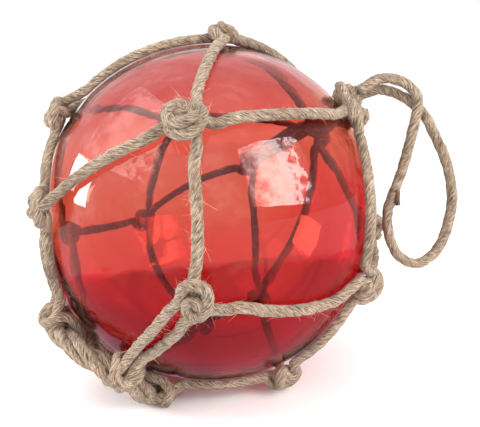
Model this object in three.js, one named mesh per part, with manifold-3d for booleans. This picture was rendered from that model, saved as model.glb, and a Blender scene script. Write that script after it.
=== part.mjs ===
// A hand-blown glass float in a knotted jute net, with a hanging loop of the same rope.
// Millimetres, +Z up. The ball stands on three knots of its net, whose undersides lie flat
// on the ground plane. The origin is on that plane, below the middle of the ball and net.
import * as THREE from 'three';
import { mergeVertices } from 'three/addons/utils/BufferGeometryUtils.js';
import Module from 'manifold-3d';

// Driving dimensions
const BALL_RADIUS = 63.5;
const ROPE_DIAMETER = 3.6;
const CLEARANCE = 0.4; // between pieces that touch in reality
const GLASS_TO_GROUND = 1.0; // the knots hold the glass just off the ground
const KNOT_WIDTH = 13; // across a knot, along the glass
const KNOT_HEIGHT = 11.2; // from the glass to the top of a knot
const RING_KNOT_HEIGHT = 13.5; // the foot ring's hitches are bulkier
const RING_LIFT = 5; // those hitches hold the ring ropes off the glass
const RING_ANGLE = 17; // angular radius of the net's foot ring, in degrees

// Mesh fineness
const BALL_SEGMENTS = 28; // a multiple of 4, so that the ball has its true height and width
const NET_ROPE_SIDES = 6;
const NET_ROPE_STEP = 15;
const LOOP_SIDES = 8;
const LOOP_STEPS = 26;
const RING_SEGMENTS = 14;
const KNOT_DETAIL = 1;

// The net hangs round an axis that leans away from straight down, through its foot ring.
const AXIS_LEAN = 43;
const AXIS_HEADING = -156;

// The knots stand in rows of five. Each is [angle from the axis, turn about the axis], in
// degrees, and the turn is measured from the uppermost side.
const RING_ROW = [[RING_ANGLE, 1], [RING_ANGLE, -86], [RING_ANGLE, -134], [RING_ANGLE, 143],
  [RING_ANGLE, 63]];
const LOWER_ROW = [[57, -10], [60.5, -77.7], [58, -144], [57, 144], [54, 58]];
const MIDDLE_ROW = [[97, -48], [94, -127], [78, 154], [80, 92], [85, 9]];
const UPPER_ROW = [[141, -99], [155, 160], [127, 115], [120, 71], [140.3, -18]];
const HANGER_KNOT = [151, -97];
const SPLICE_KNOT = [122, -161];

// How far each rope is pulled sideways from the straight way between its knots, in degrees.
// Rope i of a pair of rows runs from knot i, and its neighbour from knot i + 1.
const BOW_TO_MIDDLE = [-1, 0, 0, -5, 0];
const BOW_BACK_TO_MIDDLE = [-2, 0, 0, 0, 0];
const BOW_TO_UPPER = [-2, -14, 0, 0, 0];
const BOW_BACK_TO_UPPER = [5, 0, -3, 0, 0];

// The hanging loop's centre line from one side of the hanger knot round to the other, as
// offsets from the middle of the ball. The rope is stiff enough to stand out of its knot,
// falls in a long eye beside the ball and crosses behind itself on the way back.
const LOOP_ROUTE = [
  [60, -15, 45], [63, -14.5, 46.5], [67.5, -13.5, 46.5], [72, -13, 45], [75.5, -13.5, 42],
  [77.5, -14.5, 37.5], [76.5, -15, 31.5], [73.5, -16, 21.5], [70.5, -16.5, 12.5],
  [67.5, -17, 5.5], [64.5, -18, -2], [64.5, -19.5, -11], [67.5, -21, -18], [73.5, -21, -21],
  [80, -20.5, -18], [84.5, -19, -12], [87, -18, -5], [88.5, -16.5, 1], [88.5, -15, 8],
  [87, -13.5, 16.5], [84, -12, 24.5], [81, -11, 31.5], [75.5, -10, 37.5], [70.5, -9.5, 40.5],
  [65.5, -9.5, 42], [60.6, -10.2, 41.2],
];

const ROPE_RADIUS = ROPE_DIAMETER / 2;
const ROPE_ORBIT = BALL_RADIUS + CLEARANCE + ROPE_RADIUS;
const FLOOR_DROP = BALL_RADIUS + GLASS_TO_GROUND;
const radians = THREE.MathUtils.degToRad;
// A doubled rope is two ropes side by side. Each lies this far off the pair's middle line.
const PAIR_SHIFT = THREE.MathUtils.radToDeg(0.52 * ROPE_DIAMETER / ROPE_ORBIT);

const glassMaterial = new THREE.MeshStandardMaterial({
  color: 0xc8322e, roughness: 0.05, metalness: 0, transparent: true, opacity: 0.6,
});
const juteMaterial = new THREE.MeshStandardMaterial({
  color: 0xb49f7d, roughness: 0.95, metalness: 0,
});

// Joins and cuts of closed solids
const wasm = await Module();
wasm.setup();

function solidOf(geometry) {
  const bare = geometry.clone();
  bare.deleteAttribute('normal');
  bare.deleteAttribute('uv');
  const welded = mergeVertices(bare, 1e-4);
  return new wasm.Manifold(new wasm.Mesh({
    numProp: 3,
    vertProperties: new Float32Array(welded.attributes.position.array),
    triVerts: new Uint32Array(welded.index.array),
  }));
}

function geometryOf(solid) {
  const mesh = solid.getMesh();
  const geometry = new THREE.BufferGeometry();
  geometry.setAttribute('position', new THREE.BufferAttribute(mesh.vertProperties, 3));
  geometry.setIndex(new THREE.BufferAttribute(mesh.triVerts, 1));
  geometry.computeVertexNormals();
  return geometry;
}

// Directions on the ball
const netAxis = new THREE.Vector3(
  Math.sin(radians(AXIS_LEAN)) * Math.cos(radians(AXIS_HEADING)),
  Math.sin(radians(AXIS_LEAN)) * Math.sin(radians(AXIS_HEADING)),
  -Math.cos(radians(AXIS_LEAN)),
);
const upperSide = new THREE.Vector3(0, 0, 1).projectOnPlane(netAxis).normalize();
const turnSide = new THREE.Vector3().crossVectors(netAxis, upperSide);

function direction([fromAxis, turn]) {
  const sideways = upperSide.clone().multiplyScalar(Math.cos(radians(turn)))
    .addScaledVector(turnSide, Math.sin(radians(turn)));
  return netAxis.clone().multiplyScalar(Math.cos(radians(fromAxis)))
    .addScaledVector(sideways, Math.sin(radians(fromAxis)));
}

// A rope lying on the glass along the shortest way between two knots, bowed to one side
class RopeLine extends THREE.Curve {
  constructor(fromKnot, toKnot, bow, shift) {
    super();
    this.start = direction(fromKnot);
    this.end = direction(toKnot);
    this.normal = new THREE.Vector3().crossVectors(this.start, this.end).normalize();
    this.span = this.start.angleTo(this.end);
    this.bow = radians(bow);
    this.shift = radians(shift);
  }

  getPoint(t, target = new THREE.Vector3()) {
    const sideways = this.shift + this.bow * Math.sin(Math.PI * t);
    return target.copy(this.start).applyAxisAngle(this.normal, t * this.span)
      .multiplyScalar(Math.cos(sideways)).addScaledVector(this.normal, Math.sin(sideways))
      .multiplyScalar(ROPE_ORBIT);
  }
}

function ropeSection() {
  const section = new THREE.Shape();
  section.absarc(0, 0, ROPE_RADIUS, 0, 2 * Math.PI);
  return section;
}

function tubeAlong(path, steps, sides) {
  return new THREE.ExtrudeGeometry(ropeSection(), {
    steps, extrudePath: path, curveSegments: sides / 2, bevelEnabled: false,
  });
}

function rope(fromKnot, toKnot, bow = 0, shift = 0) {
  const line = new RopeLine(fromKnot, toKnot, bow, shift);
  const steps = Math.ceil(line.span * ROPE_ORBIT / NET_ROPE_STEP);
  return solidOf(tubeAlong(line, steps, NET_ROPE_SIDES));
}

function doubledRope(fromKnot, toKnot) {
  return rope(fromKnot, toKnot, 0, PAIR_SHIFT).add(rope(fromKnot, toKnot, 0, -PAIR_SHIFT));
}

// A knot is a rounded lump that sits on the glass.
function knot(place, height = KNOT_HEIGHT) {
  const lump = new THREE.IcosahedronGeometry(0.5, KNOT_DETAIL);
  lump.scale(KNOT_WIDTH, KNOT_WIDTH, height);
  const outward = direction(place);
  lump.applyQuaternion(new THREE.Quaternion().setFromUnitVectors(
    new THREE.Vector3(0, 0, 1), outward,
  ));
  const middle = outward.multiplyScalar(BALL_RADIUS + CLEARANCE + height / 2);
  lump.translate(middle.x, middle.y, middle.z);
  return solidOf(lump);
}

// The foot ring is a doubled rope round the net's axis.
function ringStrand(angle) {
  const orbit = ROPE_ORBIT + RING_LIFT;
  const ring = new THREE.TorusGeometry(
    orbit * Math.sin(radians(angle)), ROPE_RADIUS, NET_ROPE_SIDES, RING_SEGMENTS,
  );
  ring.applyQuaternion(new THREE.Quaternion().setFromUnitVectors(
    new THREE.Vector3(0, 0, 1), netAxis,
  ));
  const middle = netAxis.clone().multiplyScalar(orbit * Math.cos(radians(angle)));
  ring.translate(middle.x, middle.y, middle.z);
  return solidOf(ring);
}

function netSolids() {
  const solids = [ringStrand(RING_ANGLE - PAIR_SHIFT), ringStrand(RING_ANGLE + PAIR_SHIFT)];
  for (let i = 0; i < LOWER_ROW.length; i += 1) {
    const next = (i + 1) % LOWER_ROW.length;
    solids.push(knot(RING_ROW[i], RING_KNOT_HEIGHT));
    solids.push(knot(LOWER_ROW[i]), knot(MIDDLE_ROW[i]), knot(UPPER_ROW[i]));
    solids.push(doubledRope(RING_ROW[i], LOWER_ROW[i]));
    solids.push(rope(LOWER_ROW[i], MIDDLE_ROW[i], BOW_TO_MIDDLE[i]));
    solids.push(rope(LOWER_ROW[next], MIDDLE_ROW[i], BOW_BACK_TO_MIDDLE[i]));
    solids.push(rope(MIDDLE_ROW[i], UPPER_ROW[i], BOW_TO_UPPER[i]));
    solids.push(rope(MIDDLE_ROW[next], UPPER_ROW[i], BOW_BACK_TO_UPPER[i]));
  }
  // The mouth of the net is drawn together across the crown, up to the hanger knot.
  const [tieKnot, gatherKnot, drawnKnot, farKnot, crownKnot] = UPPER_ROW;
  solids.push(doubledRope(crownKnot, gatherKnot));
  solids.push(doubledRope(drawnKnot, tieKnot));
  solids.push(rope(farKnot, gatherKnot));
  solids.push(doubledRope(gatherKnot, HANGER_KNOT));
  solids.push(rope(tieKnot, HANGER_KNOT));
  solids.push(knot(HANGER_KNOT), knot(SPLICE_KNOT));
  return solids;
}

function ballGeometry() {
  const ball = new THREE.SphereGeometry(BALL_RADIUS, BALL_SEGMENTS, BALL_SEGMENTS / 2);
  ball.rotateX(Math.PI / 2);
  return ball;
}

// The undersides of the lowest knots are pressed flat on the ground.
function netGeometry() {
  const ground = new THREE.BoxGeometry(4 * BALL_RADIUS, 4 * BALL_RADIUS, BALL_RADIUS);
  ground.translate(0, 0, -FLOOR_DROP - BALL_RADIUS / 2);
  const net = netSolids().reduce((joined, solid) => joined.add(solid));
  return geometryOf(net.subtract(solidOf(ground)));
}

function loopGeometry() {
  const route = LOOP_ROUTE.map((point) => new THREE.Vector3(...point));
  return tubeAlong(new THREE.CatmullRomCurve3(route), LOOP_STEPS, LOOP_SIDES);
}

function piece(name, geometry, material) {
  const mesh = new THREE.Mesh(geometry, material);
  mesh.name = name;
  return mesh;
}

const glassBall = piece('glass_ball', ballGeometry(), glassMaterial);
const ropeNet = piece('rope_net', netGeometry(), juteMaterial);
const hangingLoop = piece('hanging_loop', loopGeometry(), juteMaterial);

const footprint = new THREE.Box3().setFromObject(glassBall).expandByObject(ropeNet);
const float = new THREE.Group();
float.add(glassBall, ropeNet, hangingLoop);
float.position.set(
  -(footprint.min.x + footprint.max.x) / 2,
  -(footprint.min.y + footprint.max.y) / 2,
  FLOOR_DROP,
);

export default float;
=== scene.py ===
# A hand-blown red glass float in a knotted jute net, with its hanging loop.
# Metres, +Z up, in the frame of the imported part.
import math
import random

import bmesh
import bpy
from mathutils import Matrix, Vector, noise


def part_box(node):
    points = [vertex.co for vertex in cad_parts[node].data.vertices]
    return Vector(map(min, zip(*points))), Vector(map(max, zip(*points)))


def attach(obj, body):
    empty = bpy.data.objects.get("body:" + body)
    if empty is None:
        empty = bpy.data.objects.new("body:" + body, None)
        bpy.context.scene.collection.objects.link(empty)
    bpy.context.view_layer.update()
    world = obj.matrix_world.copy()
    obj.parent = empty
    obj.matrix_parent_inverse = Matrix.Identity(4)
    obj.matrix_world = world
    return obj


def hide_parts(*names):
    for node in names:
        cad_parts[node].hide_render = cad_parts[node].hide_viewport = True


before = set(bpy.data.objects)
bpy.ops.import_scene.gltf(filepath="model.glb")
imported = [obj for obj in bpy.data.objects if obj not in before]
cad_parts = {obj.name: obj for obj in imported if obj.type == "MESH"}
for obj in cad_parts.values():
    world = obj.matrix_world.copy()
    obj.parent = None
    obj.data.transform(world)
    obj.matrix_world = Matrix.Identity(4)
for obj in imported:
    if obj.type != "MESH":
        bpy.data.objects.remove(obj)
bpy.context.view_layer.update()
MM = 0.001

# ---------------------------------------------------------------- camera
# It stands about four ball radii off, a little above the middle of the ball, and leans a
# few degrees to one side.
BALL_LOW, BALL_HIGH = (Vector(corner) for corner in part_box("glass_ball"))
BALL_CENTRE = (BALL_LOW + BALL_HIGH) / 2
BALL_RADIUS = (BALL_HIGH.z - BALL_LOW.z) / 2
CAMERA_DISTANCE = 4.1 * BALL_RADIUS
CAMERA_ELEVATION = math.radians(8.7)
CAMERA_ROLL = math.radians(-4.1)

camera = bpy.data.cameras.new("camera")
camera.lens = 50.3
camera.shift_x = 0.0646
camera.shift_y = -0.0031
camera.clip_start = 0.01
camera_holder = bpy.data.objects.new("camera", camera)
camera_holder.matrix_world = (
    Matrix.Translation(BALL_CENTRE + CAMERA_DISTANCE * Vector(
        (0, -math.cos(CAMERA_ELEVATION), math.sin(CAMERA_ELEVATION))))
    @ Matrix.Rotation(math.pi / 2 - CAMERA_ELEVATION, 4, "X")
    @ Matrix.Rotation(CAMERA_ROLL, 4, "Z")
)
bpy.context.scene.collection.objects.link(camera_holder)
bpy.context.scene.camera = camera_holder

# ---------------------------------------------------------------- hanging loop
# A length of soft three-strand jute rope. Both ends go into the hanger knot of the net, and
# the rope stands out of it, falls in a long eye and crosses behind itself.
ROPE_DIAMETER = 3.6 * MM
ROPE_RADIUS = ROPE_DIAMETER / 2
LAY_LENGTH = 17 * MM  # along the rope for one whole turn of its strands
SECTION_POINTS = 18
ROPE_STEP = 1.05 * MM
STRAND_FULLNESS = 1.07  # the crown of a strand, in rope radii
GROOVE_DEPTH = 0.17  # between two strands, in rope radii
SWELL, SWELL_SCALE = 0.07, 150  # slow thick and thin places, in rope radii
LUMPS, LUMPS_SCALE = 0.10, 800  # small bumps of the yarn, in rope radii
PRESSED_FLAT = 0.9  # the least a middle line stands over the ground, in rope radii

# The loop's middle line, as offsets from the middle of the ball in millimetres.
LOOP_ROUTE = [
    (60, -15, 44), (63, -14.5, 45.5), (67.5, -13.5, 45.7), (72, -13, 44.4), (75.5, -13.5, 41.8),
    (77.5, -14.5, 37.5), (76.5, -15, 31.5), (73.5, -16, 21.5), (70.5, -16.5, 12.5),
    (67.5, -17, 5.5), (64.5, -18, -2), (64.5, -19.5, -11), (67.5, -21, -18), (73.5, -21, -21),
    (80, -20.5, -18), (84.5, -19, -12), (87, -18, -5), (88.5, -16.5, 1), (88.5, -15, 8),
    (87, -13.5, 16.5), (84, -12, 24.5), (81, -11, 31.5), (75.5, -10, 37.5),
    (70.5, -9.5, 40.5), (65.5, -9.5, 42), (60.6, -10.2, 41.2),
]
# Its two ends go on into the heart of the hanger knot.
LOOP_START_IN_KNOT = (56.4, -15.6, 42.0)
LOOP_END_IN_KNOT = (56.2, -11.6, 39.6)


def smooth_line(points, step):
    """Points at even steps along a centripetal Catmull-Rom curve through the given ones."""
    ends = [points[0] * 2 - points[1]] + list(points) + [points[-1] * 2 - points[-2]]
    fine = []
    for before, start, end, after in zip(ends, ends[1:], ends[2:], ends[3:]):
        knots = [0.0]
        for first, second in ((before, start), (start, end), (end, after)):
            knots.append(knots[-1] + max((second - first).length, 1e-6) ** 0.5)
        t0, t1, t2, t3 = knots
        for i in range(10):
            t = t1 + (t2 - t1) * i / 10
            a1 = before.lerp(start, (t - t0) / (t1 - t0))
            a2 = start.lerp(end, (t - t1) / (t2 - t1))
            a3 = end.lerp(after, (t - t2) / (t3 - t2))
            b1 = a1.lerp(a2, (t - t0) / (t2 - t0))
            b2 = a2.lerp(a3, (t - t1) / (t3 - t1))
            fine.append(b1.lerp(b2, (t - t1) / (t2 - t1)))
    fine.append(points[-1].copy())
    lengths = [0.0]
    for first, second in zip(fine, fine[1:]):
        lengths.append(lengths[-1] + (second - first).length)
    count = max(3, round(lengths[-1] / step))
    line, j = [], 0
    for i in range(count + 1):
        wanted = lengths[-1] * i / count
        while j < len(fine) - 2 and lengths[j + 1] < wanted:
            j += 1
        span = max(lengths[j + 1] - lengths[j], 1e-9)
        line.append(fine[j].lerp(fine[j + 1], (wanted - lengths[j]) / span))
    return line


def carried_frames(line):
    """A sideways vector at each point, turning as little as the line allows."""
    tangents = []
    for i in range(len(line)):
        tangents.append((line[min(i + 1, len(line) - 1)] - line[max(i - 1, 0)]).normalized())
    side = tangents[0].orthogonal().normalized()
    sides = []
    for tangent in tangents:
        side = (side - tangent * side.dot(tangent)).normalized()
        sides.append(side)
    return tangents, sides


def strand_profile(angle):
    """The rope's outline: three strands with a narrow groove between each two."""
    off = math.remainder(angle, 2 * math.pi / 3) / (math.pi / 3)
    return STRAND_FULLNESS - GROOVE_DEPTH * abs(off) ** 3


class RopeMesh:
    """Collects ropes into one mesh. The UVs run along and round each strand."""

    def __init__(self):
        self.mesh = bmesh.new()
        self.uv = self.mesh.loops.layers.uv.new("strand")
        self.lines = []

    def section(self, centre, tangent, side, radius, twist, phase):
        """A ring of points round the rope, kept off the glass and out of the ground."""
        across = tangent.cross(side)
        swell = 1 + SWELL * noise.noise(centre * SWELL_SCALE + Vector((phase, 0, 0)))
        ring = []
        for k in range(SECTION_POINTS):
            angle = 2 * math.pi * k / SECTION_POINTS
            spot = side * math.cos(angle + twist) + across * math.sin(angle + twist)
            lumps = 1 + LUMPS * noise.noise((centre + spot * radius) * LUMPS_SCALE)
            place = centre + spot * (radius * swell * lumps * strand_profile(angle))
            outward = place - BALL_CENTRE
            if outward.length < BALL_RADIUS:
                place = BALL_CENTRE + outward.normalized() * BALL_RADIUS
            place.z = max(place.z, 0)
            ring.append(self.mesh.verts.new(place))
        return ring

    def join(self, ring, start, following, end, phase):
        """The faces between two sections, with the way along the rope as their UVs."""
        for k in range(SECTION_POINTS):
            after = (k + 1) % SECTION_POINTS
            face = self.mesh.faces.new((ring[k], ring[after], following[after], following[k]))
            face.smooth = True
            low, high = k / SECTION_POINTS, (k + 1) / SECTION_POINTS
            corners = ((start, low), (start, high), (end, high), (end, low))
            for loop, (along, around) in zip(face.loops, corners):
                loop[self.uv].uv = (along / ROPE_DIAMETER + 7 * phase, around)

    def add(self, points, radius=ROPE_RADIUS, phase=0.0):
        line = smooth_line(points, ROPE_STEP)
        # Where a rope lies under the ball, the ground presses it flat.
        for centre in line:
            centre.z = max(centre.z, radius * PRESSED_FLAT)
        tangents, sides = carried_frames(line)
        rings, travelled = [], 0.0
        for i, (centre, tangent, side) in enumerate(zip(line, tangents, sides)):
            if i:
                travelled += (centre - line[i - 1]).length
            twist = phase + 2 * math.pi * travelled / LAY_LENGTH
            ring = self.section(centre, tangent, side, radius, twist, phase)
            rings.append((ring, travelled))
        for (ring, start), (following, end) in zip(rings, rings[1:]):
            self.join(ring, start, following, end, phase)
        self.mesh.faces.new(list(reversed(rings[0][0])))
        self.mesh.faces.new(rings[-1][0])
        self.lines.append((line, tangents, sides, radius))
        return line

    def build(self, name, material):
        data = bpy.data.meshes.new(name)
        self.mesh.normal_update()
        self.mesh.to_mesh(data)
        self.mesh.free()
        data.materials.append(material)
        piece = bpy.data.objects.new(name, data)
        bpy.context.scene.collection.objects.link(piece)
        return piece


def colour_ramp(nodes, stops):
    ramp = nodes.new("ShaderNodeValToRGB")
    elements = ramp.color_ramp.elements
    while len(elements) < len(stops):
        elements.new(0.5)
    for element, (position, colour) in zip(elements, stops):
        element.position = position
        element.color = (*colour, 1)
    return ramp


def noise_node(nodes, scale, detail, roughness=0.5):
    made = nodes.new("ShaderNodeTexNoise")
    made.inputs["Scale"].default_value = scale
    made.inputs["Detail"].default_value = detail
    made.inputs["Roughness"].default_value = roughness
    return made


def multiplied(nodes, links, first, second):
    """The product of two colours."""
    mixed = nodes.new("ShaderNodeMix")
    mixed.data_type = "RGBA"
    mixed.blend_type = "MULTIPLY"
    mixed.inputs["Factor"].default_value = 1.0
    links.new(first, mixed.inputs["A"])
    links.new(second, mixed.inputs["B"])
    return mixed.outputs["Result"]


def make_jute_group():
    """Dry straw-coloured fibre with dark flecks, drawn out along the vector's first axis."""
    group = bpy.data.node_groups.new("jute_fibre", "ShaderNodeTree")
    sockets = group.interface
    sockets.new_socket("Vector", in_out="INPUT", socket_type="NodeSocketVector")
    sockets.new_socket("Place", in_out="INPUT", socket_type="NodeSocketVector")
    sockets.new_socket("Tone", in_out="INPUT", socket_type="NodeSocketColor")
    sockets.new_socket("Color", in_out="OUTPUT", socket_type="NodeSocketColor")
    sockets.new_socket("Height", in_out="OUTPUT", socket_type="NodeSocketFloat")
    nodes, links = group.nodes, group.links
    given = nodes.new("NodeGroupInput")
    result = nodes.new("NodeGroupOutput")
    stretch = nodes.new("ShaderNodeMapping")
    stretch.inputs["Scale"].default_value = (1.2, 21.0, 1.0)
    links.new(given.outputs["Vector"], stretch.inputs["Vector"])
    fibres = noise_node(nodes, 1.0, 5, 0.72)
    links.new(stretch.outputs["Vector"], fibres.inputs["Vector"])
    fine = nodes.new("ShaderNodeMapping")
    fine.inputs["Scale"].default_value = (2.6, 34.0, 1.0)
    fine.inputs["Location"].default_value = (5.0, 3.0, 0.0)
    links.new(given.outputs["Vector"], fine.inputs["Vector"])
    flecks = noise_node(nodes, 1.0, 2, 0.6)
    links.new(fine.outputs["Vector"], flecks.inputs["Vector"])
    fibre_tone = colour_ramp(nodes, [
        (0.39, (0.060, 0.036, 0.018)), (0.46, (0.205, 0.145, 0.095)),
        (0.53, (0.345, 0.265, 0.190)), (0.64, (0.53, 0.435, 0.335))])
    links.new(fibres.outputs["Fac"], fibre_tone.inputs["Fac"])
    fleck_tone = colour_ramp(nodes, [
        (0.34, (0.30, 0.22, 0.16)), (0.44, (1.0, 1.0, 1.0)), (0.58, (1.0, 1.0, 1.0)),
        (0.68, (1.35, 1.32, 1.26))])
    links.new(flecks.outputs["Fac"], fleck_tone.inputs["Fac"])
    # Slow changes of tone along the net
    blotches = noise_node(nodes, 75, 3)
    links.new(given.outputs["Place"], blotches.inputs["Vector"])
    blotch_tone = colour_ramp(nodes, [
        (0.33, (0.74, 0.70, 0.66)), (0.5, (0.98, 0.98, 0.98)), (0.68, (1.12, 1.10, 1.08))])
    links.new(blotches.outputs["Fac"], blotch_tone.inputs["Fac"])
    colour = fibre_tone.outputs["Color"]
    for tone in (fleck_tone.outputs["Color"], blotch_tone.outputs["Color"],
                 given.outputs["Tone"]):
        colour = multiplied(nodes, links, colour, tone)
    links.new(colour, result.inputs["Color"])
    links.new(fibres.outputs["Fac"], result.inputs["Height"])
    return group


JUTE_FIBRE = make_jute_group()


def new_material(name):
    """A material that has only its Principled shader."""
    material = bpy.data.materials.new(name)
    material.use_nodes = True
    nodes = material.node_tree.nodes
    nodes.clear()
    output = nodes.new("ShaderNodeOutputMaterial")
    shader = nodes.new("ShaderNodeBsdfPrincipled")
    material.node_tree.links.new(shader.outputs["BSDF"], output.inputs["Surface"])
    return material, nodes, material.node_tree.links, shader


def jute_material(name, tone, on_strands=True):
    """Jute whose fibres run along the strands, or, loose, in any direction."""
    material, nodes, links, shader = new_material(name)
    shader.inputs["Roughness"].default_value = 0.92
    shader.inputs["Sheen Weight"].default_value = 0.2
    shader.inputs["Sheen Roughness"].default_value = 0.5
    place = nodes.new("ShaderNodeTexCoord")
    fibre = nodes.new("ShaderNodeGroup")
    fibre.node_tree = JUTE_FIBRE
    fibre.inputs["Tone"].default_value = (*tone, 1)
    links.new(place.outputs["Object"], fibre.inputs["Place"])
    links.new(fibre.outputs["Color"], shader.inputs["Base Color"])
    if on_strands:
        uv = nodes.new("ShaderNodeUVMap")
        uv.uv_map = "strand"
        links.new(uv.outputs["UV"], fibre.inputs["Vector"])
        bump = nodes.new("ShaderNodeBump")
        bump.inputs["Strength"].default_value = 0.9
        bump.inputs["Distance"].default_value = 0.7 * MM
        links.new(fibre.outputs["Height"], bump.inputs["Height"])
        links.new(bump.outputs["Normal"], shader.inputs["Normal"])
    else:
        spread = nodes.new("ShaderNodeMapping")
        spread.inputs["Scale"].default_value = (90, 5, 90)
        links.new(place.outputs["Object"], spread.inputs["Vector"])
        links.new(spread.outputs["Vector"], fibre.inputs["Vector"])
    return material


JUTE = jute_material("jute", (0.97, 0.965, 0.955))
SCORCHED_JUTE = jute_material("scorched_jute", (0.50, 0.37, 0.27))
# The rope's cut end lies beside the loop, just below the crossing.
CUT_END = [(68.3, -18.4, 5.4), (67.9, -19.1, 3.0), (67.9, -19.5, 0.4)]
CUT_END_RADIUS = 0.85 * MM


def make_loop():
    """The loop and its cut end. Gives the middle lines that loose fibres grow from."""
    ropes = RopeMesh()
    offsets = [LOOP_START_IN_KNOT] + LOOP_ROUTE + [LOOP_END_IN_KNOT]
    route = [BALL_CENTRE + Vector(point) * MM for point in offsets]
    line = ropes.add(route, phase=0.4)
    loop = ropes.build("hanging_loop_rope", JUTE)
    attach(loop, "root")
    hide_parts("hanging_loop")
    stub = RopeMesh()
    stub.add([BALL_CENTRE + Vector(point) * MM for point in CUT_END], radius=CUT_END_RADIUS)
    cut_end = stub.build("loop_cut_end", SCORCHED_JUTE)
    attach(cut_end, "root")
    return ropes.lines


LOOP_LINES = make_loop()

# ---------------------------------------------------------------- glass ball
# A hollow ball of clear red glass, blown by hand: its wall is a little uneven, and a flat
# button of glass seals the blowing hole inside the foot ring of the net.
WALL = 2.6 * MM
WALL_UNEVENNESS = 0.5 * MM
BUTTON_RADIUS = 9 * MM
BUTTON_HEIGHT = 0.9 * MM
BUTTON_EDGE = 3 * MM  # how wide its soft edge is
RIPPLE_SIZE = 50 * MM
TINT_STREAKS = 0.16  # how far streaks shift the tint, as a share of the ball's height
PAINTED_SHADE_SHIFT = -0.22  # how far painted shade shifts it, on one side and round the seal
AXIS_LEAN = 43  # the net's axis leans this far away from straight down
AXIS_HEADING = -156


def unit_from_angles(lean, heading):
    lean, heading = math.radians(lean), math.radians(heading)
    return Vector((math.sin(lean) * math.cos(heading), math.sin(lean) * math.sin(heading),
                   -math.cos(lean)))


NET_AXIS = unit_from_angles(AXIS_LEAN, AXIS_HEADING)


def eased(nodes, links, source, start, end, low, high, smooth=True):
    """A value that goes from low to high as its source goes from start to end."""
    ease = nodes.new("ShaderNodeMapRange")
    ease.interpolation_type = "SMOOTHSTEP" if smooth else "LINEAR"
    ease.inputs["From Min"].default_value = start
    ease.inputs["From Max"].default_value = end
    ease.inputs["To Min"].default_value = low
    ease.inputs["To Max"].default_value = high
    links.new(source, ease.inputs["Value"])
    return ease.outputs["Result"]


def result_of(nodes, links, operation, *terms):
    """What an operation makes of its terms, each a number or a socket."""
    node = nodes.new("ShaderNodeMath")
    node.operation = operation
    for term, socket in zip(terms, node.inputs):
        if isinstance(term, float):
            socket.default_value = term
        else:
            links.new(term, socket)
    return node.outputs["Value"]


def glass_material():
    """Red right through, with painted shade: deeper towards the bottom, on one side and round
    the seal.
    """
    material, nodes, links, shader = new_material("red_glass")
    shader.inputs["Transmission Weight"].default_value = 1.0
    shader.inputs["Roughness"].default_value = 0.0
    shader.inputs["IOR"].default_value = 1.5
    place = nodes.new("ShaderNodeTexCoord")
    streaks = noise_node(nodes, 17, 3)
    links.new(place.outputs["Object"], streaks.inputs["Vector"])
    level = nodes.new("ShaderNodeSeparateXYZ")
    links.new(place.outputs["Object"], level.inputs["Vector"])
    # Painted shade: the tint deepens towards the bottom of the ball.
    height = eased(nodes, links, level.outputs["Z"], 0.0, 2 * BALL_RADIUS, 0.0, 1.0,
                   smooth=False)
    # Painted shade on the +X side of the ball.
    side = eased(nodes, links, level.outputs["X"], BALL_CENTRE.x + 0.45 * BALL_RADIUS,
                 BALL_CENTRE.x + 0.85 * BALL_RADIUS, 0.0, PAINTED_SHADE_SHIFT)
    # Painted shade round the seal, at the foot of the net.
    seal = nodes.new("ShaderNodeVectorMath")
    seal.operation = "DOT_PRODUCT"
    seal.inputs[1].default_value = NET_AXIS
    links.new(place.outputs["Object"], seal.inputs[0])
    ball_middle = NET_AXIS.dot(BALL_CENTRE)
    thick = eased(nodes, links, seal.outputs["Value"], ball_middle + 0.62 * BALL_RADIUS,
                  ball_middle + 0.95 * BALL_RADIUS, 0.0, PAINTED_SHADE_SHIFT)
    painted_shade_level = result_of(nodes, links, "ADD", result_of(nodes, links, "ADD", height, side), thick)
    shade = result_of(nodes, links, "MULTIPLY_ADD", streaks.outputs["Fac"], TINT_STREAKS, painted_shade_level)
    # The low stops are painted shade, darkest at the very bottom; the high ones are the glass's
    # own red.
    tint_and_painted_shade = colour_ramp(nodes, [
        (0.04, (0.52, 0.040, 0.080)), (0.18, (0.88, 0.070, 0.125)),
        (0.42, (0.88, 0.140, 0.140)), (0.55, (0.85, 0.295, 0.205)),
        (0.80, (0.88, 0.325, 0.260)), (1.0, (0.78, 0.265, 0.250))])
    links.new(shade, tint_and_painted_shade.inputs["Fac"])
    links.new(tint_and_painted_shade.outputs["Color"], shader.inputs["Base Color"])
    waves = noise_node(nodes, 60, 2)
    links.new(place.outputs["Object"], waves.inputs["Vector"])
    bump = nodes.new("ShaderNodeBump")
    bump.inputs["Strength"].default_value = 0.25
    bump.inputs["Distance"].default_value = 0.5 * MM
    links.new(waves.outputs["Fac"], bump.inputs["Height"])
    links.new(bump.outputs["Normal"], shader.inputs["Normal"])
    return material


def finish_modifier(piece, modifier):
    bpy.context.view_layer.objects.active = piece
    bpy.ops.object.modifier_apply(modifier=modifier.name)


bpy.ops.object.select_all(action="DESELECT")
bpy.ops.mesh.primitive_uv_sphere_add(
    segments=160, ring_count=80, radius=BALL_RADIUS - WALL_UNEVENNESS / 2,
    location=BALL_CENTRE)
ball = bpy.context.object
ball.name = ball.data.name = "glass_float"
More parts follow.
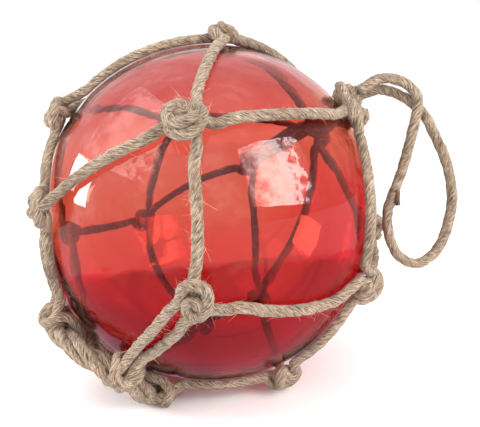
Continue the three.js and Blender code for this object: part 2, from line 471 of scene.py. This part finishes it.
# The button: the middle of the foot ring's side of the ball, raised with a soft edge
for vert in ball.data.vertices:
    reach = math.acos(min(1.0, vert.co.normalized().dot(NET_AXIS))) * BALL_RADIUS
    edge = max(0.0, min(1.0, (BUTTON_RADIUS - reach) / BUTTON_EDGE))
    vert.co += vert.co.normalized() * (BUTTON_HEIGHT * edge * edge * (3 - 2 * edge))
bpy.ops.object.transform_apply(location=True, rotation=True, scale=True)
wall = ball.modifiers.new("wall", "SOLIDIFY")
wall.thickness = WALL
wall.offset = -1
finish_modifier(ball, wall)
ripple = bpy.data.textures.new("ripple", "CLOUDS")
ripple.noise_scale = RIPPLE_SIZE
uneven = ball.modifiers.new("uneven", "DISPLACE")
uneven.texture = ripple
uneven.texture_coords = "LOCAL"
uneven.strength = WALL_UNEVENNESS
uneven.mid_level = 0.5
finish_modifier(ball, uneven)
bpy.ops.object.shade_smooth()
ball.data.materials.clear()
ball.data.materials.append(glass_material())
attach(ball, "root")
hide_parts("glass_ball")

# ---------------------------------------------------------------- net
# One size of jute rope, tied in meshes round an axis that passes through the foot ring. Two
# legs rise from each hitch on the ring, and at every knot two ropes meet and part again.
CONTACT = 0.82 * ROPE_RADIUS  # height of a rope's middle line over the glass
PAIR_SHIFT = 1.04 * ROPE_RADIUS  # how far each of two ropes side by side lies off the middle
KNOT_MARGIN = 14 * MM  # from the middle of a knot to where its open ropes start

# The foot ring: three ropes wound round one another
RING_ANGLE = 17  # from the net's axis, in degrees
RING_HEIGHT = 8.0 * MM  # of its middle line over the glass
RING_WINDS = 3
RING_WIND_RADIUS = 2.1 * MM
RING_ROPE_RADIUS = 1.08 * ROPE_RADIUS
RING_START = -120
RING_STEPS = 60

# The knots stand in rows of five. Each is (angle from the axis, turn about the axis), in
# degrees, and the turn is measured from the uppermost side.
RING_ROW = [(RING_ANGLE, 1), (RING_ANGLE, -86), (RING_ANGLE, -134), (RING_ANGLE, 143),
            (RING_ANGLE, 63)]
LOWER_ROW = [(57, -10), (60.5, -77.7), (58, -144), (57, 144), (54, 58)]
MIDDLE_ROW = [(97, -48), (94, -127), (78, 154), (80, 92), (85, 9)]
UPPER_ROW = [(141, -99), (155, 160), (127, 115), (120, 71), (140.3, -18)]
TIE, GATHER, DRAWN, FAR, CROWN = UPPER_ROW
ARCH_PLACE = LOWER_ROW[1]
LUMP_PLACE = MIDDLE_ROW[0]
HANGER_KNOT = (151, -97)
SPLICE_KNOT = (122, -161)
ROW = len(RING_ROW)

# How far each rope is pulled sideways from the straight way between its knots, in degrees.
BOW_TO_MIDDLE = [-0.2, -2.6, 0, -5, 0]
BOW_BACK_TO_MIDDLE = [-1.7, 0, 0, 0, 0]
BOW_TO_UPPER = [-3.5, -14, 0, 0, 0]
BOW_BACK_TO_UPPER = [5, 0, -3, 0, 0]
LEG_SPREAD = [0.1, 1.0, 0.2, 0.2, 0.1]  # how far two legs part on their way to a knot

UPPER_SIDE = (Vector((0, 0, 1)) - NET_AXIS * NET_AXIS.z).normalized()
TURN_SIDE = NET_AXIS.cross(UPPER_SIDE)


def direction(knot):
    from_axis, turn = math.radians(knot[0]), math.radians(knot[1])
    sideways = UPPER_SIDE * math.cos(turn) + TURN_SIDE * math.sin(turn)
    return NET_AXIS * math.cos(from_axis) + sideways * math.sin(from_axis)


def at_height(outward, height):
    """The point this far over the glass, in a direction from the middle of the ball."""
    return BALL_CENTRE + outward.normalized() * (BALL_RADIUS + height)


def arc_point(start, end, bow, t):
    """A direction part way along the bowed arc between two directions."""
    normal = start.cross(end).normalized()
    along = Matrix.Rotation(t * start.angle(end), 3, normal) @ start
    sideways = bow * math.sin(math.pi * t)
    return along * math.cos(sideways) + normal * math.sin(sideways)


def heading(from_knot, to_knot, bow=0):
    """Which way a rope leaves a knot on its way to another."""
    start, end = direction(from_knot), direction(to_knot)
    return arc_point(start, end, math.radians(bow), 0.2) - start


class KnotSite:
    """The tangent plane of a knot: points in it are sideways, forwards and over the glass."""

    def __init__(self, knot, forwards):
        self.outward = direction(knot)
        self.forwards = (forwards - self.outward * forwards.dot(self.outward)).normalized()
        self.sideways = self.forwards.cross(self.outward)

    def place(self, sideways, forwards, height):
        offset = (self.sideways * sideways + self.forwards * forwards) / BALL_RADIUS
        return at_height(self.outward + offset, height)

    def path(self, rows):
        return [self.place(side * MM, ahead * MM, height * MM) for side, ahead, height in rows]


# Ways through the two front knots, listed as (sideways, forwards, height) in millimetres
# from the knot, facing the rope that joins them. The first runs with the net's climb one way
# round, and the second with its twin.
ARCH_KNOT = (
    [(-7.6, -4.2, 1.5), (-5.4, -1.8, 2.6), (-4.1, 1.6, 4.0), (-2.7, 4.4, 5.2), (0.2, 5.3, 6.2),
     (3.0, 3.8, 6.0), (3.4, 0.4, 5.6), (2.3, -3.4, 5.4), (0.0, -5.2, 5.2), (-2.4, -3.8, 5.0),
     (-2.6, -1.0, 5.0), (-0.6, 0.4, 6.2), (1.2, -2.0, 5.0), (4.4, -4.6, 2.6),
     (8.0, -5.8, 1.5)],
    [(-4.6, -9.4, 1.5), (-1.2, -7.2, 2.2), (-0.2, -3.6, 3.6), (0.0, -0.4, 2.8),
     (-0.7, 3.0, 2.2), (0.4, 8.2, 1.5)],
)
LUMP_KNOT = (
    [(-8.2, -0.8, 1.5), (-5.6, 0.0, 2.2), (-2.7, 1.4, 4.8), (0.2, 3.0, 5.0),
     (-1.4, 4.3, 5.8), (-4.0, 3.5, 6.2), (-5.3, 1.0, 6.4), (-4.0, -1.6, 6.8),
     (-1.2, -2.5, 7.4), (1.6, -1.2, 7.2), (3.2, 0.6, 4.6), (5.0, 0.5, 2.2),
     (8.2, 0.1, 1.5)],
    [(2.4, -8.4, 1.5), (2.5, -5.4, 2.2), (1.6, -2.2, 2.8), (-1.2, 0.6, 3.2),
     (-4.0, 0.0, 3.6), (-4.8, -2.6, 4.4), (-2.8, -4.6, 5.2), (0.2, -5.2, 5.8),
     (3.0, -3.8, 6.2), (4.4, -0.8, 5.8), (4.2, 2.4, 4.6), (3.0, 5.0, 3.0), (2.4, 8.2, 1.5)],
)
FLATTER_KNOTS = {CROWN: 0.65, HANGER_KNOT: 0.6, TIE: 0.6}
KNOT_UNIT = 1.15 * MM
KNOT_OPENING = 0.42  # half of what is left open of a knot for its ends, in radians


def knotted_in(knot, towards_in, towards_out):
    """An overhand knot's middle line, with its ends pointing at two directions."""
    outward = direction(knot)
    into = (towards_in - outward * towards_in.dot(outward)).normalized()
    out_of = (towards_out - outward * towards_out.dot(outward)).normalized()
    middle = into + out_of
    if middle.length < 0.2:
        middle = into.cross(outward)
    site = KnotSite(knot, -middle)
    hand = 1 if into.dot(site.sideways) > 0 else -1
    flatness = FLATTER_KNOTS.get(knot, 1)
    points = []
    steps = 15
    for i in range(steps):
        t = math.pi + KNOT_OPENING + 2 * (math.pi - KNOT_OPENING) * i / (steps - 1)
        side = hand * KNOT_UNIT * (math.sin(t) + 2 * math.sin(2 * t))
        ahead = KNOT_UNIT * (math.cos(t) - 2 * math.cos(2 * t))
        height = CONTACT + flatness * (2.7 + 1.9 * math.sin(3 * t)) * MM
        points.append(site.place(side, ahead, height))
    return points


def collar_round(knot, towards_in, towards_out):
    """A rope's way the long way round over a knot, between two directions."""
    site = KnotSite(knot, towards_in)
    end = math.atan2(towards_out.dot(site.sideways), towards_out.dot(site.forwards))
    sweep = end - 2 * math.pi if end > 0 else end + 2 * math.pi
    flatness = FLATTER_KNOTS.get(knot, 1)
    points = []
    steps = 9
    for i in range(steps):
        share = i / (steps - 1)
        angle = sweep * share
        radius = (4.0 + 1.9 * abs(2 * share - 1) ** 2) * MM
        height = CONTACT + flatness * (0.6 + 4.6 * math.sin(math.pi * share) ** 0.7) * MM
        points.append(site.place(radius * math.sin(angle), radius * math.cos(angle), height))
    return points


def buried_turn(knot):
    """A turn of rope deep inside a knot, which the others are drawn down on."""
    site = KnotSite(knot, NET_AXIS)
    radius = 1.7 * MM
    points = []
    for i in range(10):
        angle = 2 * math.pi * i / 8
        points.append(site.place(radius * math.sin(angle), radius * math.cos(angle),
                                 CONTACT + (1.6 + 0.35 * i) * MM))
    return points


def wound_lump(site, ahead, top):
    """Two turns wound outwards and down from the top of a knot."""
    points = []
    steps = 20
    for i in range(steps):
        angle, share = 2 * math.pi * i / 9, i / (steps - 1)
        radius = (0.8 + 2.4 * share) * MM
        points.append(site.place(radius * math.cos(angle), ahead + radius * math.sin(angle),
                                 top - 2.7 * MM * share))
    return points


def open_rope(start_knot, end_knot, bow, shift=0.0, spread=0.0):
    """The stretch of rope between two knots, lying on the glass.

    shift moves it aside, and spread is how much more so at its end, as a share of shift.
    """
    start, end = direction(start_knot), direction(end_knot)
    normal = start.cross(end).normalized()
    margin = KNOT_MARGIN / (start.angle(end) * BALL_RADIUS)
    points = []
    steps = 7
    for i in range(steps):
        t = margin + (1 - 2 * margin) * i / (steps - 1)
        aside = shift * (1 + spread * t)
        spot = arc_point(start, end, math.radians(bow), t)
        points.append(at_height(spot + normal * aside / BALL_RADIUS, CONTACT))
    return points


FLATTER_HITCHES = {0: 0.82, 1: 0.85, 2: 0.78}


def foot_hitch(index):
    """The lark's head that hangs a pair of legs on the foot ring, from leg to leg."""
    knot = RING_ROW[index]
    site = KnotSite(knot, heading(knot, LOWER_ROW[index]))
    half = [
        (1.9, 11.5, 2.4), (2.0, 7.6, 6.6), (2.0, 3.6, 11.2), (2.1, -1.4, 12.4),
        (2.4, -5.4, 9.4), (2.8, -5.4, 4.8), (3.3, -0.6, 2.9), (4.0, 4.6, 3.4),
        (4.0, 7.4, 7.2), (2.4, 6.6, 11.4),
    ]
    flatness = FLATTER_HITCHES.get(index, 1)
    half = [(side, ahead, height * flatness) for side, ahead, height in half]
    there = site.path([(-side, ahead, height) for side, ahead, height in half])
    over = site.path([(0, 6.2, 12.4 * flatness)])
    return there + over + site.path(half)[::-1]


def knot_way(knot, step, from_knot, to_knot, bow_in, bow_out):
    """A rope's way through a knot of the net."""
    if knot == ARCH_PLACE:
        site = KnotSite(knot, heading(knot, LUMP_PLACE))
        return site.path(ARCH_KNOT[0 if step > 0 else 1])
    if knot == LUMP_PLACE:
        site = KnotSite(knot, -heading(knot, ARCH_PLACE))
        return site.path(LUMP_KNOT[0 if step > 0 else 1])
    knotting = knotted_in if step > 0 else collar_round
    return knotting(knot, heading(knot, from_knot, bow_in), heading(knot, to_knot, bow_out))


def half_strand(index, step):
    """One leg and its way up the net, from the foot ring to the upper row.

    step is 1 for the rope that climbs one way round the ball and -1 for its twin.
    """
    lower = LOWER_ROW[index]
    if step > 0:
        middle_index, upper_index = index, index
        bow_low, bow_high = BOW_TO_MIDDLE[index], BOW_TO_UPPER[index]
    else:
        middle_index = (index - 1) % ROW
        upper_index = (index - 2) % ROW
        bow_low = BOW_BACK_TO_MIDDLE[middle_index]
        bow_high = BOW_BACK_TO_UPPER[upper_index]
    middle, upper = MIDDLE_ROW[middle_index], UPPER_ROW[upper_index]
    over_crown = UPPER_ROW[(upper_index + 2) % ROW]
    points = open_rope(RING_ROW[index], lower, 0, step * PAIR_SHIFT, LEG_SPREAD[index])[1:]
    points += knot_way(lower, step, RING_ROW[index], middle, 0, bow_low)
    points += open_rope(lower, middle, bow_low)
    points += knot_way(middle, step, lower, upper, -bow_low, bow_high)
    points += open_rope(middle, upper, bow_high)
    points += knot_way(upper, step, middle, over_crown, -bow_high, 0)
    return points


def add_foot_ring(ropes):
    for phase in (0, 2 * math.pi / 3, 4 * math.pi / 3):
        points = []
        for i in range(RING_STEPS + 2):
            turn = 360 * i / RING_STEPS
            wind = RING_WINDS * math.radians(turn) + phase
            height = RING_HEIGHT + RING_WIND_RADIUS * math.cos(wind)
            aside = math.degrees(RING_WIND_RADIUS * math.sin(wind) / BALL_RADIUS)
            way = direction((RING_ANGLE + aside, turn + RING_START))
            points.append(at_height(way, height))
        ropes.add(points, radius=RING_ROPE_RADIUS, phase=phase)


def add_mouth(ropes):
    """The ropes that draw the upper knots together, most of them lying in pairs."""
    for start, end, shift, raised in (
            (CROWN, GATHER, 1, 0), (CROWN, GATHER, -1, 0), (DRAWN, TIE, 1, 0),
            (DRAWN, TIE, -1, 0), (FAR, GATHER, 0, 0), (GATHER, HANGER_KNOT, 1, 0),
            (GATHER, HANGER_KNOT, -1, 0), (TIE, HANGER_KNOT, 0, 0),
            (TIE, HANGER_KNOT, 0.2, 2.6), (TIE, HANGER_KNOT, 1.8, 2.2)):
        first, last = direction(start), direction(end)
        aside = first.cross(last).normalized() * (shift * PAIR_SHIFT / BALL_RADIUS)
        points = []
        steps = 8
        for i in range(steps + 1):
            share = i / steps
            lift = 1.2 * abs(2 * share - 1) ** 4  # onto the knots at both ends
            points.append(at_height(arc_point(first, last, 0, share) + aside,
                                    CONTACT + (raised + lift) * MM))
        ropes.add(points, phase=shift)


def last_turns():
    """The hanger knot's last turns, which close over the ends of the hanging loop."""
    radius, advance = 2.3 * MM, 0.28 * MM
    turn_steps, steps, steps_behind = 9, 28, 20
    knot_top = KnotSite(HANGER_KNOT, heading(HANGER_KNOT, GATHER)).place(0, 0, 5 * MM)
    way_out = BALL_CENTRE + Vector(LOOP_ROUTE[0]) * MM - knot_top
    across = way_out.cross(Vector((0, 0, 1))).normalized()
    upright = across.cross(way_out).normalized()
    middle = knot_top - upright * 1.6 * MM
    points = []
    for i in range(steps):
        angle = 2 * math.pi * i / turn_steps
        points.append(middle + across * (radius * math.cos(angle))
                      + upright * (radius * math.sin(angle))
                      + way_out.normalized() * (advance * (i - steps_behind)))
    return points


def add_mouth_knots(ropes):
    for knot, first, last in ((HANGER_KNOT, GATHER, TIE), (SPLICE_KNOT, GATHER, MIDDLE_ROW[1])):
        ropes.add(knotted_in(knot, heading(knot, first), heading(knot, last)), phase=2.0)
        ropes.add(collar_round(knot, heading(knot, first), heading(knot, last)), phase=0.5)
        ropes.add(buried_turn(knot), phase=1.0)
    for knot, first, last in ((HANGER_KNOT, CROWN, LUMP_PLACE), (TIE, LUMP_PLACE, HANGER_KNOT)):
        ropes.add(knotted_in(knot, heading(knot, first), heading(knot, last)), phase=3.0)
    tie_site = KnotSite(TIE, heading(TIE, LUMP_PLACE))
    ropes.add(wound_lump(tie_site, 2.5 * MM, 5.2 * MM), phase=1.5)
    hanger_site = KnotSite(HANGER_KNOT, heading(HANGER_KNOT, TIE))
    ropes.add(wound_lump(hanger_site, 0, 7.0 * MM), phase=2.5)
    ropes.add(last_turns(), phase=0.2)


def make_net():
    """All the ropes and knots. Gives the middle lines that loose fibres grow from."""
    ropes = RopeMesh()
    for index in range(ROW):
        forward = half_strand(index, 1)
        backward = half_strand(index, -1)
        hitch = foot_hitch(index)
        if (hitch[0] - forward[0]).length < (hitch[0] - backward[0]).length:
            hitch = hitch[::-1]
        ropes.add(backward[::-1] + hitch + forward, phase=1.3 * index)
    for knot in LOWER_ROW + MIDDLE_ROW + UPPER_ROW:
        if knot != ARCH_PLACE:
            ropes.add(buried_turn(knot), phase=knot[0])
    add_foot_ring(ropes)
    add_mouth(ropes)
    add_mouth_knots(ropes)
    net = ropes.build("net_ropes", JUTE)
    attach(net, "root")
    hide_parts("rope_net")
    return ropes.lines


NET_LINES = make_net()

# ---------------------------------------------------------------- loose fibres
# Jute is hairy: short fibres work loose from the strands and stand out all along the ropes.
LOOSE_JUTE = jute_material("loose_jute", (1.9, 1.8, 1.6), on_strands=False)
FIBRE_LENGTHS = (0.6 * MM, 2.9 * MM)
MOSTLY_SHORT = 2.6  # 1 would make all lengths as likely
FIBRE_WIDTHS = (0.022 * MM, 0.05 * MM)
FIBRES_PER_STEP = (6, 7, 8)  # along each step of a rope's middle line
FIBRE_SLANT = (0.4, 3.4)  # how far along the rope for each length outwards
FIBRE_BEND = 0.6
FIBRE_JOINTS = 3
OFF_GLASS = 0.4 * MM
OFF_GROUND = 0.2 * MM


def add_fibre(mesh, start, grow, bend, reach, thick):
    """One flat tapering ribbon, cut off where it would touch the glass or the ground."""
    across = grow.orthogonal().normalized() * thick
    previous = None
    for k in range(FIBRE_JOINTS + 1):
        share = k / FIBRE_JOINTS
        centre = start + (grow * share + bend * share * share) * reach
        if (centre - BALL_CENTRE).length < BALL_RADIUS + OFF_GLASS or centre.z < OFF_GROUND:
            break
        taper = 1 - 0.6 * share
        pair = (mesh.verts.new(centre - across * taper),
                mesh.verts.new(centre + across * taper))
        if previous:
            mesh.faces.new((previous[0], previous[1], pair[1], pair[0]))
        previous = pair


def make_fibres():
    draw = random.Random(7)
    shortest, longest = FIBRE_LENGTHS
    mesh = bmesh.new()
    for line, tangents, sides, radius in NET_LINES + LOOP_LINES:
        for i in range(1, len(line) - 1):
            for _ in range(draw.choice(FIBRES_PER_STEP)):
                angle = draw.uniform(0, 2 * math.pi)
                side = sides[i] * math.cos(angle)
                side += tangents[i].cross(sides[i]) * math.sin(angle)
                start = line[i] + side * radius * 0.9
                along = tangents[i] * draw.choice((-1, 1)) * draw.uniform(*FIBRE_SLANT)
                bend = Vector((draw.gauss(0, 1), draw.gauss(0, 1), draw.gauss(0, 1)))
                reach = shortest + (longest - shortest) * draw.random() ** MOSTLY_SHORT
                thick = draw.uniform(*FIBRE_WIDTHS)
                add_fibre(mesh, start, (side + along).normalized(), bend * FIBRE_BEND, reach,
                          thick)
    loose = [vert for vert in mesh.verts if not vert.link_faces]
    bmesh.ops.delete(mesh, geom=loose, context="VERTS")
    data = bpy.data.meshes.new("loose_fibres")
    mesh.to_mesh(data)
    mesh.free()
    data.materials.append(LOOSE_JUTE)
    fibres = bpy.data.objects.new("loose_fibres", data)
    bpy.context.scene.collection.objects.link(fibres)
    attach(fibres, "root")


make_fibres()

# ---------------------------------------------------------------- floor and light
# A pale floor in a white room, lit by a window on each side, one high up and a soft light in
# front. Seen through the glass or in it, the floor round the ball glows with painted shade: a
# dark bench with a painted shadow under the ball.
FLOOR_SIZE = 6.0
FLOOR_DROP = 0.05 * MM  # keeps it clear of the rope that rests on the ground
PAINTED_SHADE_FADE = (0.10, 0.265)  # from the ball, where the painted shade starts to fade and is gone


def mirrored_only(nodes, links):
    """1 where a thing is seen mirrored in the glass, and 0 where it's seen through it."""
    ray = nodes.new("ShaderNodeLightPath")
    mirrored = nodes.new("ShaderNodeMath")
    mirrored.operation = "SUBTRACT"
    mirrored.use_clamp = True
    links.new(ray.outputs["Is Glossy Ray"], mirrored.inputs[0])
    links.new(ray.outputs["Is Transmission Ray"], mirrored.inputs[1])
    return mirrored.outputs["Value"]


def floor_material():
    material, nodes, links, shader = new_material("floor")
    shader.inputs["Roughness"].default_value = 0.9
    shader.inputs["Specular IOR Level"].default_value = 0.0
    shader.inputs["Base Color"].default_value = (0.92, 0.92, 0.92, 1)
    painted_shade_glow = nodes.new("ShaderNodeEmission")
    place = nodes.new("ShaderNodeTexCoord")
    away = nodes.new("ShaderNodeVectorMath")
    away.operation = "LENGTH"
    links.new(place.outputs["Object"], away.inputs[0])
    ragged = noise_node(nodes, 14, 4, 0.6)
    links.new(place.outputs["Object"], ragged.inputs["Vector"])
    edge = result_of(nodes, links, "MULTIPLY_ADD", ragged.outputs["Fac"], 0.16,
                  away.outputs["Value"])
    spread = eased(nodes, links, edge, *PAINTED_SHADE_FADE, 0.0, 1.0, smooth=False)
    # Painted shadow darkest under the ball, painted shade of a dusky bench round it, then the
    # pale floor.
    tone = colour_ramp(nodes, [
        (0.0, (0.38, 0.29, 0.35)), (0.35, (0.56, 0.40, 0.44)), (0.88, (0.56, 0.40, 0.44)),
        (1.0, (0.95, 0.93, 0.93))])
    links.new(spread, tone.inputs["Fac"])
    links.new(tone.outputs["Color"], painted_shade_glow.inputs["Color"])
    # Mirrored in the glass, the painted dark bench is dimmer than through it.
    dimmer = eased(nodes, links, mirrored_only(nodes, links), 0.0, 1.0, 1.0, 0.85,
                   smooth=False)
    links.new(dimmer, painted_shade_glow.inputs["Strength"])
    ray = nodes.new("ShaderNodeLightPath")
    by_glass = result_of(nodes, links, "MAXIMUM", ray.outputs["Is Glossy Ray"],
                      ray.outputs["Is Transmission Ray"])
    mixed = nodes.new("ShaderNodeMixShader")
    links.new(by_glass, mixed.inputs["Fac"])
    links.new(shader.outputs["BSDF"], mixed.inputs[1])
    links.new(painted_shade_glow.outputs["Emission"], mixed.inputs[2])
    links.new(mixed.outputs["Shader"], nodes["Material Output"].inputs["Surface"])
    return material


bpy.ops.object.select_all(action="DESELECT")
bpy.ops.mesh.primitive_plane_add(size=FLOOR_SIZE, location=(0, 0, -FLOOR_DROP))
floor = bpy.context.object
floor.name = "floor"
bpy.ops.object.transform_apply(location=True)
floor.data.materials.append(floor_material())


def area_light(name, place, width, height, power):
    """A light at a place off the middle of the ball, turned to face it."""
    light = bpy.data.lights.new(name, "AREA")
    light.shape = "RECTANGLE"
    light.size, light.size_y = width, height
    light.energy = power
    holder = bpy.data.objects.new(name, light)
    holder.location = BALL_CENTRE + place
    holder.rotation_euler = (-place).to_track_quat("-Z", "Y").to_euler()
    bpy.context.scene.collection.objects.link(holder)
    return holder


def break_up(light):
    """Dims parts of a window's light, as leaves in front of it do."""
    light.use_nodes = True
    nodes, links = light.node_tree.nodes, light.node_tree.links
    pane = nodes.new("ShaderNodeNewGeometry")
    leaves = noise_node(nodes, 5, 5, 0.65)
    links.new(pane.outputs["Parametric"], leaves.inputs["Vector"])
    split = nodes.new("ShaderNodeSeparateXYZ")
    links.new(pane.outputs["Parametric"], split.inputs["Vector"])
    crowd = result_of(nodes, links, "MULTIPLY_ADD", split.outputs["X"], 0.55,
                   leaves.outputs["Fac"])
    gaps = colour_ramp(nodes, [(0.50, (0.26, 0.17, 0.17)), (0.72, (1, 0.94, 0.90)),
                               (0.92, (1, 1, 1)), (0.95, (0.10, 0.06, 0.06))])
    links.new(crowd, gaps.inputs["Fac"])
    links.new(gaps.outputs["Color"], nodes["Emission"].inputs["Color"])


area_light("left_window", Vector((-0.80, 0.08, 0.245)), 0.34, 0.28, 4.6)
right_window = area_light("right_window", Vector((0.655, -0.545, 0.40)), 0.72, 0.64, 15)
right_window.rotation_euler.rotate_axis("Z", math.radians(-8))
break_up(right_window.data)
sky_window = area_light("sky_window", Vector((-0.70, -0.22, 0.86)), 1.3, 0.9, 9)
break_up(sky_window.data)
# The soft light in front isn't mirrored in the glass or seen through it.
front = area_light("front_fill", Vector((-0.25, -1.0, -0.02)), 0.9, 0.9, 5.5)
front.visible_glossy = False
front.visible_transmission = False

room = bpy.data.worlds.new("studio")
bpy.context.scene.world = room
room.use_nodes = True
room_nodes, room_links = room.node_tree.nodes, room.node_tree.links
room_nodes["Background"].inputs["Strength"].default_value = 1.1
# The glass mirrors a room full of dim and bright things, darker on one side, and all else is
# lit by plain white.
things = noise_node(room_nodes, 2.6, 4, 0.6)
things_tone = colour_ramp(room_nodes, [
    (0.38, (0.55, 0.50, 0.53)), (0.48, (0.80, 0.78, 0.79)), (0.56, (0.95, 0.92, 0.92)),
    (0.63, (1.6, 1.5, 1.45))])
room_links.new(things.outputs["Fac"], things_tone.inputs["Fac"])
sides = room_nodes.new("ShaderNodeTexCoord")
split = room_nodes.new("ShaderNodeSeparateXYZ")
room_links.new(sides.outputs["Generated"], split.inputs["Vector"])
dark_side = eased(room_nodes, room_links, split.outputs["X"], 0.15, 0.65, 1.0, 0.35,
                  smooth=False)
dimmed = multiplied(room_nodes, room_links, things_tone.outputs["Color"], dark_side)
seen = room_nodes.new("ShaderNodeMix")
seen.data_type = "RGBA"
seen.inputs["A"].default_value = (1, 1, 1, 1)
room_links.new(mirrored_only(room_nodes, room_links), seen.inputs["Factor"])
room_links.new(dimmed, seen.inputs["B"])
room_links.new(seen.outputs["Result"], room_nodes["Background"].inputs["Color"])
bpy.context.scene.view_settings.view_transform = "Standard"
